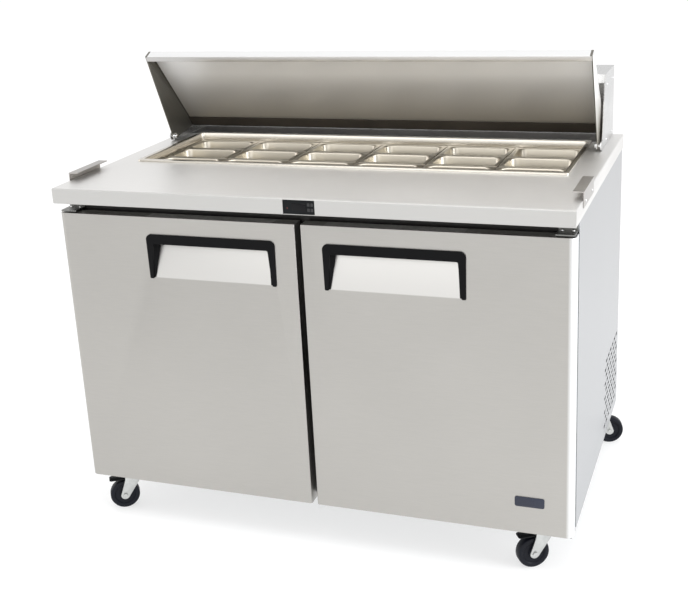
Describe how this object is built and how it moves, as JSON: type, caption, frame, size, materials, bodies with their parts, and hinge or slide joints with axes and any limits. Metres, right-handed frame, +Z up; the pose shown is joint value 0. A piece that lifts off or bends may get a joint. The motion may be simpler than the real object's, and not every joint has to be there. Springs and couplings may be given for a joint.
{
  "type": "sandwich prep table",
  "caption": "Two-door refrigerated counter on casters with a stainless worktop, a well of lift-out food pans, a swinging lid under a rear hood, and recessed black door handles.",
  "frame": {"origin": "on the floor, under the centre of the table's overall box", "axes": "+X the table's right as seen by someone standing in front, -Y the front with the doors, +Z up"},
  "size_m": [1.2674, 0.762, 1.1182],
  "materials": {
    "brushed_stainless": "fine vertical or lengthwise brush, satin",
    "polished_stainless": "smooth mill finish, glossy",
    "galvanised_sheet": "galvanised, dull",
    "fan_aluminium": "bare",
    "liner": "smooth, satin",
    "evaporator_housing": "smooth",
    "compressor_black": "satin black",
    "controller_plastic": "smooth black",
    "coated_wire": "plastic coated wire",
    "door_cap_plastic": "dark, satin",
    "gasket_rubber": "soft magnetic gasket",
    "handle_plastic": "satin black",
    "zinc_plate": "zinc plated, bright",
    "swivel_head_plastic": "satin black",
    "wheel_rubber": "solid tread, satin",
    "brake_plastic": "satin black"
  },
  "bodies": {
    "cabinet": {"chassis": "galvanised_sheet", "cabinet_liner": "liner", "left_side_panel": "brushed_stainless", "right_side_panel": "brushed_stainless", "worktop": "brushed_stainless", "controller": "controller_plastic", "pan_well": "polished_stainless", "rear_hood": "brushed_stainless", "condensing_unit": "compressor_black", "evaporator_unit": "evaporator_housing", "left_board_bracket": "brushed_stainless", "right_board_bracket": "brushed_stainless", "left_shelf": "coated_wire", "right_shelf": "coated_wire", "left_top_hinge": "zinc_plate", "right_top_hinge": "zinc_plate", "left_bottom_hinge": "zinc_plate", "right_bottom_hinge": "zinc_plate", "front_left_caster_head": "swivel_head_plastic", "front_right_caster_head": "swivel_head_plastic", "rear_left_caster_head": "swivel_head_plastic", "rear_right_caster_head": "swivel_head_plastic"},
    "left_door": {"left_door_shell": "brushed_stainless", "left_door_liner": "door_cap_plastic", "left_door_gasket": "gasket_rubber", "left_door_handle": "handle_plastic"},
    "right_door": {"right_door_shell": "brushed_stainless", "right_door_liner": "door_cap_plastic", "right_door_gasket": "gasket_rubber", "right_door_handle": "handle_plastic"},
    "lid": {"lid_cover": "polished_stainless"},
    "front_pan_1": {"front_pan_1": "polished_stainless"},
    "front_pan_2": {"front_pan_2": "polished_stainless"},
    "front_pan_3": {"front_pan_3": "polished_stainless"},
    "front_pan_4": {"front_pan_4": "polished_stainless"},
    "front_pan_5": {"front_pan_5": "polished_stainless"},
    "front_pan_6": {"front_pan_6": "polished_stainless"},
    "middle_pan_1": {"middle_pan_1": "polished_stainless"},
    "middle_pan_2": {"middle_pan_2": "polished_stainless"},
    "middle_pan_3": {"middle_pan_3": "polished_stainless"},
    "middle_pan_4": {"middle_pan_4": "polished_stainless"},
    "middle_pan_5": {"middle_pan_5": "polished_stainless"},
    "middle_pan_6": {"middle_pan_6": "polished_stainless"},
    "rear_pan_1": {"rear_pan_1": "polished_stainless"},
    "rear_pan_2": {"rear_pan_2": "polished_stainless"},
    "rear_pan_3": {"rear_pan_3": "polished_stainless"},
    "rear_pan_4": {"rear_pan_4": "polished_stainless"},
    "rear_pan_5": {"rear_pan_5": "polished_stainless"},
    "rear_pan_6": {"rear_pan_6": "polished_stainless"},
    "front_left_fork": {"front_left_caster_fork": "zinc_plate"},
    "front_left_wheel": {"front_left_caster_wheel": "wheel_rubber"},
    "front_right_fork": {"front_right_caster_fork": "zinc_plate"},
    "front_right_wheel": {"front_right_caster_wheel": "wheel_rubber"},
    "rear_left_fork": {"rear_left_caster_fork": "zinc_plate"},
    "rear_left_wheel": {"rear_left_caster_wheel": "wheel_rubber"},
    "rear_right_fork": {"rear_right_caster_fork": "zinc_plate"},
    "rear_right_wheel": {"rear_right_caster_wheel": "wheel_rubber"},
    "front_left_brake": {"front_left_caster_brake": "brake_plastic"},
    "front_right_brake": {"front_right_caster_brake": "brake_plastic"},
    "fan": {"condenser_fan": "fan_aluminium"}
  },
  "joints": [
    {"name": "left_door_hinge", "type": "hinge", "parent": "cabinet", "child": "left_door", "pos_m": [-0.592, -0.345, 0.454], "axis": [0, 0, -1], "range_deg": [0, 110]},
    {"name": "right_door_hinge", "type": "hinge", "parent": "cabinet", "child": "right_door", "pos_m": [0.592, -0.345, 0.454], "axis": [0, 0, 1], "range_deg": [0, 110]},
    {"name": "lid_hinge", "type": "hinge", "parent": "cabinet", "child": "lid", "pos_m": [0, 0.169, 0.875], "axis": [-1, 0, 0], "range_deg": [-65, 0]},
    {"name": "front_pan_1_lift", "type": "slide", "parent": "cabinet", "child": "front_pan_1", "axis": [0, 0, 1], "range_m": [0, 0.15]},
    {"name": "front_pan_2_lift", "type": "slide", "parent": "cabinet", "child": "front_pan_2", "axis": [0, 0, 1], "range_m": [0, 0.15]},
    {"name": "front_pan_3_lift", "type": "slide", "parent": "cabinet", "child": "front_pan_3", "axis": [0, 0, 1], "range_m": [0, 0.15]},
    {"name": "front_pan_4_lift", "type": "slide", "parent": "cabinet", "child": "front_pan_4", "axis": [0, 0, 1], "range_m": [0, 0.15]},
    {"name": "front_pan_5_lift", "type": "slide", "parent": "cabinet", "child": "front_pan_5", "axis": [0, 0, 1], "range_m": [0, 0.15]},
    {"name": "front_pan_6_lift", "type": "slide", "parent": "cabinet", "child": "front_pan_6", "axis": [0, 0, 1], "range_m": [0, 0.15]},
    {"name": "middle_pan_1_lift", "type": "slide", "parent": "cabinet", "child": "middle_pan_1", "axis": [0, 0, 1], "range_m": [0, 0.15]},
    {"name": "middle_pan_2_lift", "type": "slide", "parent": "cabinet", "child": "middle_pan_2", "axis": [0, 0, 1], "range_m": [0, 0.15]},
    {"name": "middle_pan_3_lift", "type": "slide", "parent": "cabinet", "child": "middle_pan_3", "axis": [0, 0, 1], "range_m": [0, 0.15]},
    {"name": "middle_pan_4_lift", "type": "slide", "parent": "cabinet", "child": "middle_pan_4", "axis": [0, 0, 1], "range_m": [0, 0.15]},
    {"name": "middle_pan_5_lift", "type": "slide", "parent": "cabinet", "child": "middle_pan_5", "axis": [0, 0, 1], "range_m": [0, 0.15]},
    {"name": "middle_pan_6_lift", "type": "slide", "parent": "cabinet", "child": "middle_pan_6", "axis": [0, 0, 1], "range_m": [0, 0.15]},
    {"name": "rear_pan_1_lift", "type": "slide", "parent": "cabinet", "child": "rear_pan_1", "axis": [0, 0, 1], "range_m": [0, 0.058]},
    {"name": "rear_pan_2_lift", "type": "slide", "parent": "cabinet", "child": "rear_pan_2", "axis": [0, 0, 1], "range_m": [0, 0.058]},
    {"name": "rear_pan_3_lift", "type": "slide", "parent": "cabinet", "child": "rear_pan_3", "axis": [0, 0, 1], "range_m": [0, 0.058]},
    {"name": "rear_pan_4_lift", "type": "slide", "parent": "cabinet", "child": "rear_pan_4", "axis": [0, 0, 1], "range_m": [0, 0.058]},
    {"name": "rear_pan_5_lift", "type": "slide", "parent": "cabinet", "child": "rear_pan_5", "axis": [0, 0, 1], "range_m": [0, 0.058]},
    {"name": "rear_pan_6_lift", "type": "slide", "parent": "cabinet", "child": "rear_pan_6", "axis": [0, 0, 1], "range_m": [0, 0.058]},
    {"name": "front_left_swivel", "type": "hinge", "parent": "cabinet", "child": "front_left_fork", "pos_m": [-0.531, -0.305, 0.09], "axis": [0, 0, 1], "continuous": true},
    {"name": "front_left_wheel_spin", "type": "hinge", "parent": "front_left_fork", "child": "front_left_wheel", "pos_m": [-0.55113, -0.31807, 0.0375], "axis": [0.5446, -0.8387, 0], "continuous": true},
    {"name": "front_right_swivel", "type": "hinge", "parent": "cabinet", "child": "front_right_fork", "pos_m": [0.531, -0.305, 0.09], "axis": [0, 0, 1], "continuous": true},
    {"name": "front_right_wheel_spin", "type": "hinge", "parent": "front_right_fork", "child": "front_right_wheel", "pos_m": [0.51087, -0.31807, 0.0375], "axis": [0.5446, -0.8387, 0], "continuous": true},
    {"name": "rear_left_swivel", "type": "hinge", "parent": "cabinet", "child": "rear_left_fork", "pos_m": [-0.572, 0.346, 0.09], "axis": [0, 0, 1], "continuous": true},
    {"name": "rear_left_wheel_spin", "type": "hinge", "parent": "rear_left_fork", "child": "rear_left_wheel", "pos_m": [-0.59518, 0.35221, 0.0375], "axis": [-0.2588, -0.9659, 0], "continuous": true},
    {"name": "rear_right_swivel", "type": "hinge", "parent": "cabinet", "child": "rear_right_fork", "pos_m": [0.572, 0.346, 0.09], "axis": [0, 0, 1], "continuous": true},
    {"name": "rear_right_wheel_spin", "type": "hinge", "parent": "rear_right_fork", "child": "rear_right_wheel", "pos_m": [0.59518, 0.35221, 0.0375], "axis": [-0.2588, 0.9659, 0], "continuous": true},
    {"name": "front_left_brake_pedal", "type": "hinge", "parent": "front_left_fork", "child": "front_left_brake", "pos_m": [-0.53436, -0.30718, 0.0815], "axis": [0.5446, -0.8387, 0], "range_deg": [0, 10]},
    {"name": "front_right_brake_pedal", "type": "hinge", "parent": "front_right_fork", "child": "front_right_brake", "pos_m": [0.52765, -0.30718, 0.0815], "axis": [0.5446, -0.8387, 0], "range_deg": [0, 10]},
    {"name": "fan_spin", "type": "hinge", "parent": "cabinet", "child": "fan", "pos_m": [0.52, 0.249, 0.218], "axis": [1, 0, 0], "continuous": true}
  ]
}
